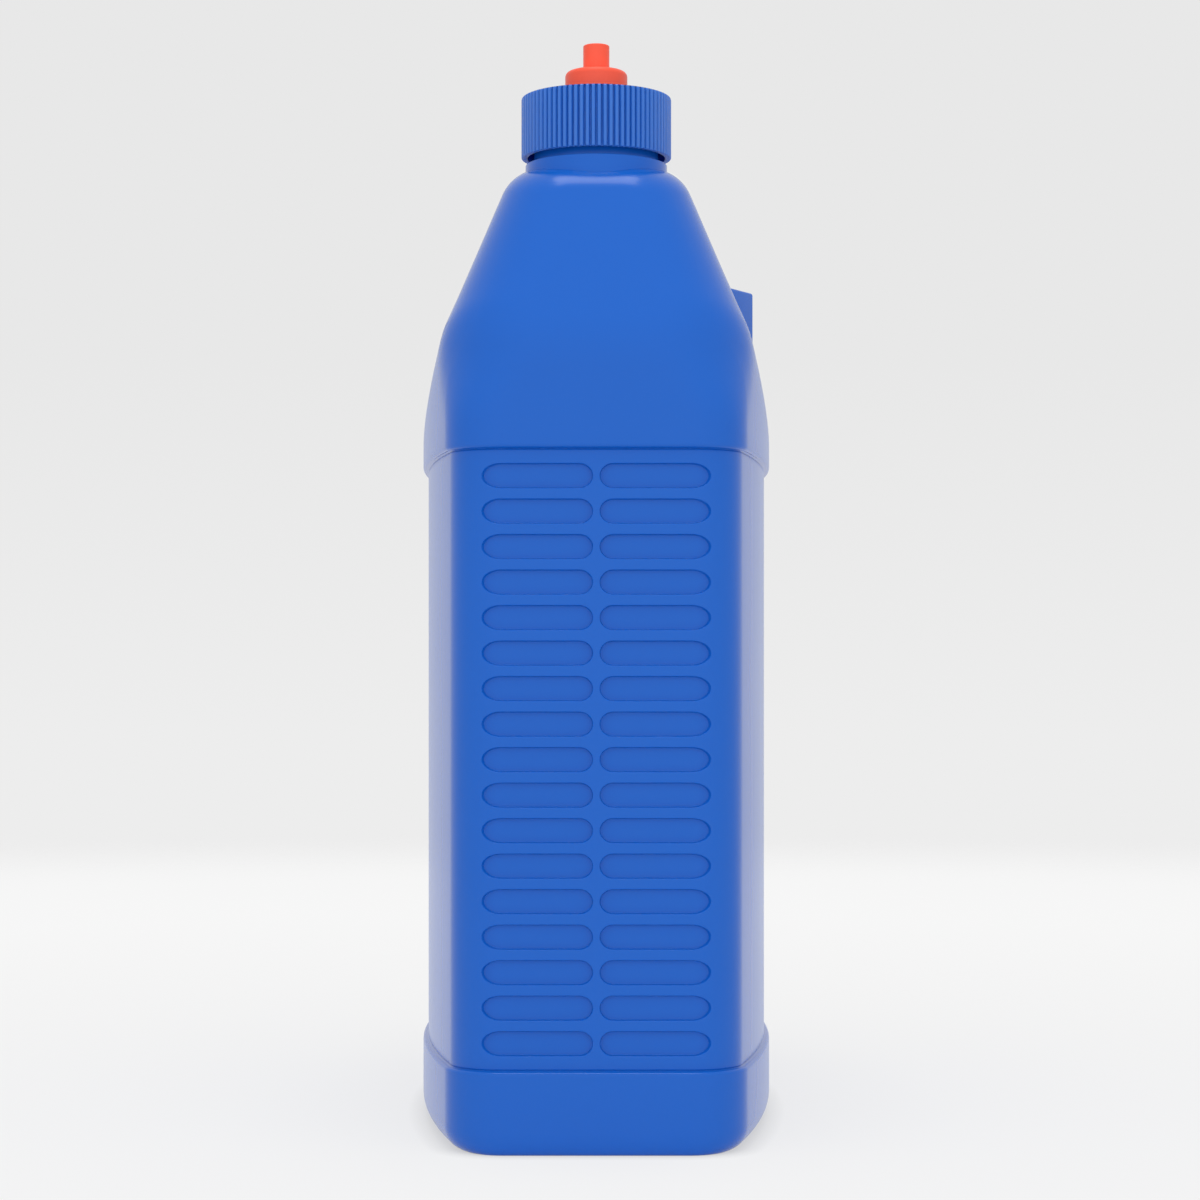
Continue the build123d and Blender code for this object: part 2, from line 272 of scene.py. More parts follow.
def steps_between(stops, counts):
    """Evenly spaced values between each two stops, without repeating the stops."""
    runs = [np.linspace(a, b, n, endpoint=False) for a, b, n in zip(stops[:-1], stops[1:], counts)]
    return np.concatenate(runs + [[stops[-1]]])


TILE_X = steps_between([0, BAR_START, BAR_END, TILE_EDGE], [END_STEPS, BAR_STEPS, END_STEPS])


def footprint():
    """Points and outward directions of the outline, counterclockwise from the middle of the front.

    On the flat end the direction is straight ahead. On a corner and on a bowed side the direction
    turns by an angle, and the point is the arc's centre plus the radius along the direction.
    """
    flat = TILE_X[TILE_X < CORNER_X]
    wrapped = TILE_X[TILE_X >= CORNER_X]
    first = np.arcsin((wrapped - CORNER_X) / WAIST_CORNER_R)
    corner = np.concatenate([first, np.linspace(first[-1], np.pi / 2 - BOW_TURN, 15)[1:]])
    bow = np.linspace(-BOW_TURN, BOW_TURN, 38)[1:-1]
    back_corner = np.linspace(BOW_TURN, np.pi / 2, 20)
    back_flat = np.linspace(CORNER_X, 0, 7)[1:]

    turn = np.concatenate([np.zeros(len(flat)), corner, bow + np.pi / 2, back_corner + np.pi / 2,
                           np.full(len(back_flat), np.pi)])
    out = np.stack([np.sin(turn), -np.cos(turn)], axis=-1)
    on_flat = np.stack([flat, np.full(len(flat), -HALF_DEPTH)], axis=-1)
    corner_out = out[len(flat):len(flat) + len(corner)]
    on_corner = np.array([CORNER_X, -CORNER_Y]) + CORNER_R * corner_out
    at = len(flat) + len(corner)
    on_bow = np.array([-BOW_CENTRE, 0]) + BOW_R * out[at:at + len(bow)]
    at += len(bow)
    on_back = np.array([CORNER_X, CORNER_Y]) + CORNER_R * out[at:at + len(back_corner)]
    on_end = np.stack([back_flat, np.full(len(back_flat), HALF_DEPTH)], axis=-1)
    right = np.vstack([on_flat, on_corner, on_bow, on_back, on_end])
    flip = np.array([-1, 1])
    return np.vstack([right, right[-2:0:-1] * flip]), np.vstack([out, out[-2:0:-1] * flip])


OUTLINE, OUTWARD = footprint()
COLUMNS = len(OUTLINE)
print("footprint", COLUMNS, "columns, half width of the flat end", round(CORNER_X, 2))

# %% [markdown]
# ## Base, plinth and waist
#
# Up to the shoulder every level is the same outline, set in by more or less. So one profile of set-in
# against height describes the pushed-up base, the rounded foot, the plinth's rim, the waist and the
# lower edge of the shoulder. A small groove runs along the waist beside each rim, and it draws the thin
# dark line that the rims show. The foot's rounding is shallower on the narrow ends than on the broad sides,
# as the photograph shows it, so each column has its own share of it.

# %% Side profile
FOOT_R = 6.0
FOOT_END_SHARE = 0.35
RIM_EDGE_R = 1.05
RIM_FILLET = 0.2
RIM_GROOVE = 0.3
RIM_GROOVE_HEIGHT = 0.45
RIM_GROOVE_ROWS = np.array([[RIM_GROOVE, 0.1], [RIM_GROOVE, RIM_GROOVE_HEIGHT / 2],
                            [0.05, RIM_GROOVE_HEIGHT], [0.01, RIM_GROOVE_HEIGHT + 0.2]])
PLINTH_TOP = 21.5
SHOULDER_BOTTOM = 180.3
BAND = 13.0
PUSH_UP = 2.0
PUSH_UP_R = 1.2
STRAIGHT_TOP = 186.0
WALL = 1.3
GRIP_MIDDLE = (PLINTH_TOP + SHOULDER_BOTTOM) / 2
TILES_LOW = GRIP_MIDDLE - GRIP_ROWS * GRIP_PITCH / 2
TILES_HIGH = GRIP_MIDDLE + GRIP_ROWS * GRIP_PITCH / 2


def quarter(centre_in, centre_z, radius, start, end, steps):
    """Arc of (set-in, height) points about a centre, with angles in degrees from the inward direction."""
    angle = np.radians(np.linspace(start, end, steps))
    return np.stack([centre_in + radius * np.cos(angle), centre_z + radius * np.sin(angle)], axis=-1)


def rim_groove(rim, way):
    """Rows of the groove beside a rim, running up from it where way is 1 and down where it is -1."""
    return np.array([RIM_STEP, rim]) + RIM_GROOVE_ROWS * np.array([1, way])


TILE_ROWS = np.linspace(TILES_LOW, TILES_HIGH, GRIP_ROWS * SIDE_STEPS + 1)
waist = np.stack([np.full(len(TILE_ROWS), RIM_STEP), TILE_ROWS], axis=-1)
profile = np.vstack([
    quarter(BAND + PUSH_UP_R, PUSH_UP - PUSH_UP_R, PUSH_UP_R, 90, 180, 6),
    quarter(BAND - RIM_FILLET, RIM_FILLET, RIM_FILLET, 0, -90, 4),
    quarter(FOOT_R, FOOT_R, FOOT_R, 270, 180, 10),
    [[0.0, PLINTH_TOP * 0.5]],
    quarter(RIM_EDGE_R, PLINTH_TOP - RIM_EDGE_R, RIM_EDGE_R, 180, 100, 7),
    rim_groove(PLINTH_TOP, 1),
    waist,
    rim_groove(SHOULDER_BOTTOM, -1)[::-1],
    quarter(RIM_EDGE_R, SHOULDER_BOTTOM + RIM_EDGE_R, RIM_EDGE_R, -100, -180, 7),
    [[0.0, STRAIGHT_TOP]],
])


def walls(profile, foot_share=1.0):
    """Rows of the straight part: each column's outline point, moved in by the set-in, at the height.

    On the foot's rounding the set-in is first multiplied by the column's own share.
    """
    on_foot = (profile[:, :1] <= FOOT_R) & (profile[:, 1:] < FOOT_R)
    set_in = profile[:, :1] * np.where(on_foot, foot_share, 1.0)
    level = OUTLINE[None] - set_in[..., None] * OUTWARD[None]
    height = np.broadcast_to(profile[:, 1:], level.shape[:2])
    return np.concatenate([level, height[:, :, None]], axis=-1)


def closing(ring, shares):
    """Rows that shrink a ring onto its middle, at the ring's height."""
    middle = np.array([0, 0, ring[0, 2]])
    return middle + shares[:, None, None] * (ring - middle)


FOOT_SHARE = FOOT_END_SHARE + (1 - FOOT_END_SHARE) * OUTWARD[None, :, 0] ** 2
side_rows = walls(profile, FOOT_SHARE)
base_rows = closing(side_rows[0], np.array([0, 0.2, 0.5, 0.8]))
print("straight part", len(side_rows), "rows, tiles from", TILES_LOW, "to", TILES_HIGH)

# %% [markdown]
# ## Shoulder and tower
#
# Above the straight walls the form is a block cut by sloping planes: a roof from both broad sides, a
# leaning front, a leaning back, a deck behind it and a lid under the neck. Every edge between them is
# round. Rounding such edges one by one on a mesh is hard where three meet, so the form is written as one
# formula instead: how far a point lies outside it. Two walls are joined by a formula that rounds their
# edge to a true radius, and joins are nested until the whole form is there.

# %% The form as a distance
ROOF_START = SHOULDER_BOTTOM + 9.7
DECK_TOP = SHOULDER_BOTTOM + 18.7
TOWER_BEND = SHOULDER_BOTTOM + 27.7
TOWER_TOP = SHOULDER_BOTTOM + 77.3
COLLAR_R = 18.9
TOWER_LAND = 2.9
ROOF_SLOPE = (HALF_WIDTH - COLLAR_R - TOWER_LAND) / (TOWER_TOP - ROOF_START)
ROOF_TILT = math.atan(ROOF_SLOPE)
FRONT_TILT = math.radians(20.0)
BACK_TILT = math.radians(24.0)
LID_TILT = math.radians(6.5)
TOWER_BACK = 92.0 - HALF_DEPTH
ROOF_START_R = 26.0
BEND_R = 40.0
DECK_SIDE_R = 8.0
DECK_BACK_R = 14.0
TOWER_FOOT_R = 9.0
TOWER_CORNER_R = 24.0
TOWER_PEAK_CORNER_R = 19.0
LID_R = 11.2


def round_join(a, b, cosine, radius):
    """How far outside two walls a point is, where their shared edge is rounded.

    a and b are the distances outside each wall, and cosine is that of the angle between the walls'
    outward directions. Near the edge the answer is the distance from the fillet's centre line, less
    the radius. Elsewhere it is the larger of the two.
    """
    p, q = a + radius, b + radius
    away = np.sqrt(np.maximum(p * p + q * q - 2 * p * q * cosine, 0) / (1 - cosine**2)) - radius
    return np.where((p > q * cosine) & (q > p * cosine), away, np.maximum(a, b))


def fill_join(a, b, cosine, radius):
    """How far outside two joined bodies a point is, where the corner between them is filled."""
    return -round_join(-a, -b, cosine, radius)


def ramp(value, low, high):
    """A smooth step from 0 at low to 1 at high."""
    t = np.clip((value - low) / (high - low), 0, 1)
    return t * t * (3 - 2 * t)


def outline_gap(x, y):
    """How far outside the footprint a point is: of the bow, the flat end, or the corner's arc."""
    dx, dy = np.abs(x) - CORNER_X, np.abs(y) - CORNER_Y
    bow = np.hypot(np.abs(x) + BOW_CENTRE, y) - BOW_R
    in_corner = (dx > 0) & (dy > dx * math.tan(BOW_TURN))
    return np.where(in_corner, np.hypot(dx, dy) - CORNER_R, np.maximum(bow, dy - CORNER_R))


def body_gap(points):
    """How far outside the jug's body a point is, without the handle, lug and neck."""
    x, y, z = points[..., 0], points[..., 1], points[..., 2]
    bow = np.hypot(np.abs(x) + BOW_CENTRE, y) - BOW_R
    roof = (np.abs(x) - HALF_WIDTH) * math.cos(ROOF_TILT) + (z - ROOF_START) * math.sin(ROOF_TILT)
    side = round_join(bow, roof, math.cos(ROOF_TILT), ROOF_START_R)

    rear = (y - TOWER_BACK) * math.cos(BACK_TILT) + (z - DECK_TOP) * math.sin(BACK_TILT)
    top = fill_join(z - DECK_TOP, rear, math.sin(BACK_TILT), TOWER_FOOT_R)
    up = ramp(z, DECK_TOP, DECK_TOP + 16)
    edge_r = DECK_SIDE_R + up * (CORNER_R - DECK_SIDE_R)
    side_top = round_join(side, top, math.sin(ROOF_TILT) * (1 - 0.6 * up), edge_r)

    lean = (-y - HALF_DEPTH) * math.cos(FRONT_TILT) + (z - TOWER_BEND) * math.sin(FRONT_TILT)
    front = round_join(-y - HALF_DEPTH, lean, math.cos(FRONT_TILT), BEND_R)
    back = y - HALF_DEPTH
    bow_cosine = np.abs(y) / np.hypot(np.abs(x) + BOW_CENTRE, y)
    low = ramp(-z, -(STRAIGHT_TOP + 22), -STRAIGHT_TOP)
    low_back = ramp(-z, -DECK_TOP, -STRAIGHT_TOP)
    cosine = np.where(y < 0, 0.13 + (bow_cosine - 0.13) * low, bow_cosine * low_back)
    tower_r = TOWER_CORNER_R + (TOWER_PEAK_CORNER_R - TOWER_CORNER_R) * ramp(z, TOWER_BEND + 12, TOWER_TOP)
    front_r = CORNER_R + (tower_r - CORNER_R) * ramp(z, SHOULDER_BOTTOM + 6, TOWER_BEND - 2)
    end_r = np.where(y < 0, front_r, DECK_BACK_R + (CORNER_R - DECK_BACK_R) * low_back)
    whole = round_join(side_top, np.maximum(front, back), cosine, end_r)

    plain = round_join(bow, np.abs(y) - HALF_DEPTH, bow_cosine, CORNER_R)
    whole = whole + ramp(-z, -(STRAIGHT_TOP + 12), -STRAIGHT_TOP) * (outline_gap(x, y) - plain)
    lid = (z - TOWER_TOP) * math.cos(LID_TILT) - (y - NECK_Y) * math.sin(LID_TILT)
    return round_join(whole, lid, 0.38, LID_R)


def push_out(gap, start, toward, near, far, rounds=40):
    """The point on each ray from start, where the gap changes from inside to outside, by halving."""
    near = np.full(toward.shape[:-1], near)
    far = np.full(toward.shape[:-1], far)
    for _ in range(rounds):
        middle = (near + far) / 2
        outside = gap(start + middle[..., None] * (toward - start)) > 0
        near, far = np.where(outside, near, middle), np.where(outside, middle, far)
    return start + near[..., None] * (toward - start)


# %% [markdown]
# The skin is found by rays from a point inside the body: each ray stops where the formula says that it
# leaves. Guide rings near the surface aim the rays, so that rows gather where the form bends: over the
# deck's edge, in the fillet at the tower's foot and round the top.

# %% Shoulder rows
INSIDE = np.array([0.0, -62.0, 150.0])
MOUTH_RING_R = 17.4
unit = OUTLINE / np.array([HALF_WIDTH, HALF_DEPTH])
round_unit = unit / np.linalg.norm(unit, axis=1, keepdims=True)
rearness = (1 + unit[:, 1]) / 2


def guide_ring(half_x, front_y, back_y, front_z, back_z, shape=unit):
    """A ring with the footprint's column spacing, between two depths and two heights."""
    x = half_x * shape[:, 0]
    y = (front_y + back_y) / 2 + (back_y - front_y) / 2 * shape[:, 1]
    return np.stack([x, y, front_z + (back_z - front_z) * (1 + shape[:, 1]) / 2], axis=-1)


def eased(count):
    """Shares from 0 to 1, closer together at the start and at the end."""
    t = np.linspace(0, 1, count + 1)[1:]
    return (1 - np.cos(np.pi * t)) / 2


guides = [
    np.column_stack([OUTLINE, np.full(COLUMNS, STRAIGHT_TOP)]),
    np.column_stack([OUTLINE - 6 * OUTWARD * ramp(unit[:, 1], -1, -0.5)[:, None], 200 - 1.5 * rearness]),
    guide_ring(39.0, -103.0, -15.0, 212.0, 200.0),
    guide_ring(26.0, -90.0, -37.0, 247.0, 251.0),
    guide_ring(MOUTH_RING_R, NECK_Y - MOUTH_RING_R, NECK_Y + MOUTH_RING_R, 255.6, 259.6, round_unit),
]
STEP_COUNTS = [14, 30, 34, 18]


def between_guides():
    """Aiming rows: each stretch between two guides is crossed in eased steps."""
    spans = zip(guides[:-1], guides[1:], STEP_COUNTS)
    return np.concatenate([a + eased(n)[:, None, None] * (b - a) for a, b, n in spans])


aim = between_guides()
top_rows = push_out(body_gap, INSIDE, aim, 0.3, 1.7)
top_ring = top_rows[-1, :, 2]
print("shoulder and tower", len(top_rows), "rows, top ring at z", top_ring.min(), top_ring.max())

# %% [markdown]
# ## Grip recesses
#
# Each recess is a shallow pocket with straight long sides and oval ends, and the outer end wraps round
# the jug's corner. A plain grid would cut its oval ends into steps. So each recess gets a tile of its own,
# whose rows are rings that turn from the tile's straight border into the pocket's outline, go down its
# slightly slanted wall and close on its middle. The tiles' borders share the wall's own grid points, so
# they fit in without a gap.

# %% Recess tiles
EDGE_R = 0.16
FLOOR_EDGE_R = 0.16
WALL_DRAFT = 0.18
BEND_STEPS = (0, 22.5, 45, 67.5, 90)


def pocket_ring(grow):
    """The pocket's outline in front view, counterclockwise, made larger by grow on every side."""
    high = GRIP_HALF_HEIGHT + grow
    side = np.concatenate([np.linspace(-90, -50, END_STEPS, endpoint=False),
                           np.linspace(-50, 50, SIDE_STEPS, endpoint=False),
                           np.linspace(50, 90, END_STEPS, endpoint=False)])
    turn = np.radians(side)
    bar = np.linspace(BAR_START, BAR_END, BAR_STEPS, endpoint=False)
    outer = np.stack([BAR_END + (GRIP_OUTER_END + grow) * np.cos(turn), high * np.sin(turn)], axis=-1)
    inner = np.stack([BAR_START - (GRIP_INNER_END + grow) * np.cos(turn), -high * np.sin(turn)], axis=-1)
    low_bar = np.stack([bar, np.full(BAR_STEPS, -high)], axis=-1)
    high_bar = np.stack([BAR_START + BAR_END - bar, np.full(BAR_STEPS, high)], axis=-1)
    return np.vstack([low_bar, outer, high_bar, inner])


def tile_ring():
    """The tile's straight border, with a point for each point of the pocket's outline."""
    half = GRIP_PITCH / 2
    out = steps_between([BAR_END, TILE_EDGE], [END_STEPS])
    home = steps_between([BAR_START, 0], [END_STEPS])
    rise = steps_between([-half, half], [SIDE_STEPS])
    bar = steps_between([BAR_START, BAR_END], [BAR_STEPS])
    runs = [(bar, -half), (out, -half), (TILE_EDGE, rise), (out[::-1], half),
            (bar[::-1], half), (home, half), (0, rise[::-1]), (home[::-1], -half)]
    return np.vstack([np.stack(np.broadcast_arrays(x, z), axis=-1)[:-1] for x, z in runs])


def on_front(x, z, depth):
    """A front-view point put on the waist's front wall and round its corner, at a depth under it.

    On the flat end the depth runs straight back. Past it, the sideways distance gives the angle on
    the corner's arc, and the depth shortens the arc's radius.
    """
    turn = np.arcsin(np.clip((x - CORNER_X) / WAIST_CORNER_R, 0, 1))
    radius = WAIST_CORNER_R - depth
    px = np.where(x > CORNER_X, CORNER_X + radius * np.sin(turn), x)
    py = -CORNER_Y - radius * np.cos(turn)
    return np.stack(np.broadcast_arrays(px, py, z), axis=-1)


def recess_tile():
    """Rings of one tile, from its border to the pocket's middle line."""
    border = tile_ring()
    bend = np.radians(BEND_STEPS)
    grows = np.concatenate([EDGE_R * (1 - np.sin(bend)), -WALL_DRAFT - FLOOR_EDGE_R * (1 - np.cos(bend))])
    depths = np.concatenate([EDGE_R * (1 - np.cos(bend)), GRIP_DEPTH - FLOOR_EDGE_R * (1 - np.sin(bend))])
    rings = np.stack([pocket_ring(g) for g in grows])
    inner = pocket_ring(-WALL_DRAFT - FLOOR_EDGE_R)
    spine = np.stack([np.clip(inner[:, 0], BAR_START, BAR_END), np.zeros(len(inner))], axis=-1)
    outside = border + np.array([0, 0.5])[:, None, None] * (rings[0] - border)
    floor = inner + np.array([0.25, 0.6, 1.0])[:, None, None] * (spine - inner)
    flat = np.concatenate([outside, rings, floor])
    depth = np.concatenate([np.zeros(2), depths, np.full(3, GRIP_DEPTH)])
    return flat, np.broadcast_to(depth[:, None], flat.shape[:2])


tile, tile_depth = recess_tile()
heights = GRIP_MIDDLE + (np.arange(GRIP_ROWS) - (GRIP_ROWS - 1) / 2) * GRIP_PITCH
tiles_right = on_front(tile[None, :, :, 0], heights[:, None, None] + tile[None, :, :, 1], tile_depth[None])
tiles_left = tiles_right * np.array([-1, 1, 1])
print("tile", tile.shape, "rings and points, for", GRIP_ROWS, "rows of two")

# %% [markdown]
# ## The blown body in one skin
#
# The rows are stacked into one grid, and the quads where the tiles go are left out. Then the same rows
# are laid once more, one wall thickness further in and with fewer rows, for the inside. The two skins
# meet under the neck, so the body is closed and hollow like the real one.

# %% Body mesh
outer_rows = np.concatenate([base_rows, side_rows, top_rows])
off_tiles = np.abs(profile[:, 1] - TILES_LOW) + (profile[:, 0] != RIM_STEP)
first_tile_row = len(base_rows) + int(np.argmin(off_tiles))
tile_span = len(TILE_X) - 1
quads = grid_quads(len(outer_rows), COLUMNS)
quad_row, quad_column = np.divmod(np.arange(len(quads)), COLUMNS)
in_rows = (quad_row >= first_tile_row) & (quad_row < first_tile_row + GRIP_ROWS * SIDE_STEPS)
in_columns = (quad_column < tile_span) | (quad_column >= COLUMNS - tile_span)
quads = quads[~(in_rows & in_columns)]

rings, around = tile.shape[:2]
tile_quads = grid_quads(rings, around)
right_quads = (tile_quads + np.arange(GRIP_ROWS)[:, None, None] * rings * around).reshape(-1, 4)
left_quads = right_quads[:, ::-1]


def inner_profile():
    """The inside of the straight part, one wall further in, without the rims' small edges."""
    low = BAND - WALL
    rim = WALL + RIM_STEP
    grip = rim + GRIP_DEPTH
    return np.array([[low + 5, PUSH_UP + WALL], [low + 1, PUSH_UP + WALL], [low, WALL], [FOOT_R + 1, WALL],
                     [WALL + 0.6, WALL + 0.6], [WALL, FOOT_R + 1], [WALL, PLINTH_TOP - 3],
                     [rim, PLINTH_TOP], [grip, PLINTH_TOP + 2], [grip, SHOULDER_BOTTOM - 2],
                     [rim, SHOULDER_BOTTOM + 1], [WALL, SHOULDER_BOTTOM + 4]])


inner_side = walls(inner_profile())
inner_top = push_out(lambda p: body_gap(p) + WALL, INSIDE, aim[::3], 0.2, 1.7)
inner_base = closing(inner_side[0], np.array([0, 0.5]))
inner_rows = np.concatenate([inner_base, inner_side, inner_top])[::-1]
rim_link = np.concatenate([outer_rows[-1:], inner_rows[:1]])
parts = [(outer_rows, quads), (tiles_right, right_quads), (tiles_left, left_quads),
         (rim_link, grid_quads(2, COLUMNS)), (inner_rows, grid_quads(len(inner_rows), COLUMNS))]
starts = np.cumsum([0] + [points[..., 0].size for points, _ in parts[:-1]])
body_points = np.concatenate([points.reshape(-1, 3) for points, _ in parts])
body_quads = np.concatenate([q + start for (_, q), start in zip(parts, starts)])
body = add_piece("jug_body", body_points, body_quads, jug_plastic, "jug")
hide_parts("jug")

# %% [markdown]
# ## Handle
#
# The handle is a hollow bar with a rounded section. It leaves the tower's back, bends down and lands on
# the deck's rear edge. Its skin is found as the shoulder's is: rays run outwards from its middle line and
# stop where the joined form of bar and body ends, with the corner between the two filled. So the bar
# flares into the jug at both ends, as blown plastic does. Its heel is cut flush with the jug's back, and it
# sinks a hair under the body's skin, so that the two never share a surface.

# %% Handle skin
HANDLE_HALF_WIDTH = 13.5
HANDLE_HALF_THICKNESS = 10.5
HANDLE_EDGE_R = 9.0
HANDLE_BEND_R = 34.0
HANDLE_FILL_R = 8.0
HANDLE_HEEL_R = 5.0
HANDLE_START = np.array([NECK_Y, TOWER_TOP - 11.0])
HANDLE_KNEE = np.array([HALF_DEPTH - 25.0, TOWER_TOP - 17.0])
HANDLE_FOOT = np.array([HALF_DEPTH - 9.0, DECK_TOP - 14.0])
SINK = 0.06


def handle_line(s):
    """Middle line of the handle in side view: straight, an arc that turns down, and straight again."""
    first = HANDLE_KNEE - HANDLE_START
    second = HANDLE_FOOT - HANDLE_KNEE
    first_length, second_length = np.linalg.norm(first), np.linalg.norm(second)
    first, second = first / first_length, second / second_length
    turn = math.acos(float(first @ second))
    cut = HANDLE_BEND_R * math.tan(turn / 2)
    run = first_length - cut
    arc = HANDLE_BEND_R * turn
    down = np.array([first[1], -first[0]])
    centre = HANDLE_START + run * first + HANDLE_BEND_R * down
    angle = np.clip((s - run) / HANDLE_BEND_R, 0, turn)[:, None]
    direction = first * np.cos(angle) + down * np.sin(angle)
    normal = first * np.sin(angle) - down * np.cos(angle)
    on_arc = centre + HANDLE_BEND_R * normal
    spare = np.where(s < run, s - run, np.maximum(s - run - arc, 0))[:, None]
    return on_arc + spare * direction, normal, run + arc + second_length - cut


_, _, HANDLE_LENGTH = handle_line(np.zeros(1))


def bar_gap(across, over):
    """How far outside the handle's section a point is: a rectangle with round corners."""
    dx = np.abs(across) - (HANDLE_HALF_WIDTH - HANDLE_EDGE_R)
    dz = np.abs(over) - (HANDLE_HALF_THICKNESS - HANDLE_EDGE_R)
    return np.hypot(np.maximum(dx, 0), np.maximum(dz, 0)) + np.minimum(np.maximum(dx, dz), 0) - HANDLE_EDGE_R


def handle_skin(columns=56):
    """Rows of the handle: from each point of its line, rays in its cross-section to the filled form."""
    s = np.concatenate([np.arange(14, 52, 0.8), np.arange(52, HANDLE_LENGTH - 30, 2.2),
                        np.arange(HANDLE_LENGTH - 30, HANDLE_LENGTH, 0.8)])
    line, normal, _ = handle_line(s)
    turn = np.linspace(0, 2 * np.pi, columns, endpoint=False)
    across, over = np.cos(turn), np.sin(turn)
    sideways = np.broadcast_to(across, (len(s), columns))
    ray = np.stack([sideways, over * normal[:, :1], over * normal[:, 1:]], axis=-1)
    centre = np.column_stack([np.zeros(len(s)), line])[:, None]
    near = np.zeros((len(s), columns))
    plain = np.full((len(s), columns), 30.0)
    for _ in range(40):
        middle = (near + plain) / 2
        outside = bar_gap(middle * across, middle * over) > 0
        near, plain = np.where(outside, near, middle), np.where(outside, middle, plain)
    reach = plain + HANDLE_FILL_R
    near = np.zeros_like(reach)
    for _ in range(40):
        middle = (near + reach) / 2
        points = centre + middle[..., None] * ray
        form = fill_join(bar_gap(middle * across, middle * over), body_gap(points) + SINK, 0.0, HANDLE_FILL_R)
        form = round_join(form, points[..., 1] - HALF_DEPTH + SINK, 0.0, HANDLE_HEEL_R)
        near, reach = np.where(form > 0, near, middle), np.where(form > 0, middle, reach)
    rows = centre + near[..., None] * ray
    return np.concatenate([centre[:1] + 0 * rows[:1], rows, centre[-1:] + 0 * rows[:1]])


handle_rows = handle_skin()
handle_quads = grid_quads(len(handle_rows), handle_rows.shape[1])[:, ::-1]
add_piece("jug_handle", handle_rows, handle_quads, jug_plastic, "jug")

# %% [markdown]
# ## Lug
#
# A small lug stands out of one side of the shoulder. Its front is a ramp, its top and back are flat, and
# its edges are slightly round. Its outline seen from above is a polygon with round corners, and a few
# rows that draw in at the top round off the upper edge.

# %% Lug skin
LUG_FRONT = 45.0 - HALF_DEPTH
LUG_OUT = HALF_WIDTH - 6.5
LUG_TOP = TOWER_TOP - 29.9
LUG_RAMP = 15.0
LUG_LENGTH = 25.0
LUG_EDGE_R = 0.7
LUG_ROOT = 14.0


def lug_skin():
    """Rows of the lug: the outline at each height, drawn in along a quarter circle at the top."""
    root = HALF_WIDTH - ROOF_SLOPE * (LUG_TOP - ROOF_START)
    bend = np.radians(BEND_STEPS)
    draw = np.concatenate([[0], LUG_EDGE_R * (1 - np.cos(bend))])
    height = np.concatenate([[LUG_TOP - 28], LUG_TOP - LUG_EDGE_R + LUG_EDGE_R * np.sin(bend)])
    rows = []
    for inset, z in zip(draw, height):
        front, back, out = LUG_FRONT + inset, LUG_FRONT + LUG_LENGTH - inset, LUG_OUT - inset
        corners = [(root - LUG_ROOT, front), (root, front), (out, LUG_FRONT + LUG_RAMP), (out, back),
                   (root - LUG_ROOT, back)]
        flat = rounded_outline(corners, LUG_EDGE_R, 5)
        rows.append(np.column_stack([flat, np.full(len(flat), z)]))
    rows = np.stack(rows)
    middle = rows.mean(axis=1, keepdims=True)
    return np.concatenate([middle[:1] + 0 * rows[:1], rows, middle[-1:] + 0 * rows[:1]])


lug_rows = lug_skin()
lug_quads = grid_quads(len(lug_rows), lug_rows.shape[1])
add_piece("jug_lug", lug_rows, lug_quads, jug_plastic, "jug")

# %% [markdown]
# ## Neck
#
# The neck is a plain tube with a low collar at its foot and a thread for the cap. Turned shapes need only
# a profile: here a polygon of radii and heights with an arc at each corner.

# %% Neck and collar
NECK_R = 16.6
NECK_BORE_R = 14.6
COLLAR_TOP = TOWER_TOP + 0.9
neck_profile = rounded_outline(
    [(NECK_BORE_R, TOWER_TOP - 12), (COLLAR_R, TOWER_TOP - 12), (COLLAR_R, COLLAR_TOP), (NECK_R, COLLAR_TOP),
     (NECK_R, LIP), (NECK_BORE_R, LIP)],
    [0.3, 0.3, 0.25, 0.4, 0.5, 0.4])
NECK_COLUMNS = 144
neck_rows = revolve(neck_profile, NECK_COLUMNS)
neck_quads = grid_quads(len(neck_rows), NECK_COLUMNS, wrap_rows=True)
add_piece("jug_neck", neck_rows, neck_quads, jug_plastic, "jug")


# %% [markdown]
# A screw thread is a small ridge carried along a helix. The ridge's section is a rounded trapezoid, and
# it sinks into the wall at both ends of the helix, where a real mould runs it out.

# %% Threads
PITCH = 4.233


def thread(wall_r, height, start_z, turns, inward=False):
    """Ridge along a helix: a section of (outwards, upwards) points moved round and up by the pitch."""
    section = rounded_outline([(-0.5, -1.1), (height, -0.5), (height, 0.5), (-0.5, 1.1)], 0.25, 4)
    angle = np.linspace(0, 2 * np.pi * turns, int(96 * turns))[:, None]
    fade = ramp(angle, 0, 0.5) * ramp(angle[-1] - angle, 0, 0.5)
    out = section[:, 0] * fade - 0.6 * (1 - fade)
    radius = wall_r - out if inward else wall_r + out
    z = start_z + PITCH * angle / (2 * np.pi) + section[:, 1]
    return np.stack([radius * np.cos(angle), NECK_Y + radius * np.sin(angle), z], axis=-1)


def add_thread(name, rows, material, body, flip):
    """A thread as a closed piece, with a flat cap at each end."""
    ends = [np.broadcast_to(row.mean(axis=0), row.shape)[None] for row in (rows[0], rows[-1])]
    rows = np.concatenate([ends[0], rows, ends[1]])
    quads = grid_quads(len(rows), rows.shape[1])
    return add_piece(name, rows, quads[:, ::-1] if flip else quads, material, body)


NECK_THREAD_START = 263.4
CAP_BORE_R = NECK_R + 1.75
neck_thread = thread(NECK_R, 1.25, NECK_THREAD_START, 1.75)
add_thread("neck_thread", neck_thread, jug_plastic, "jug", True)

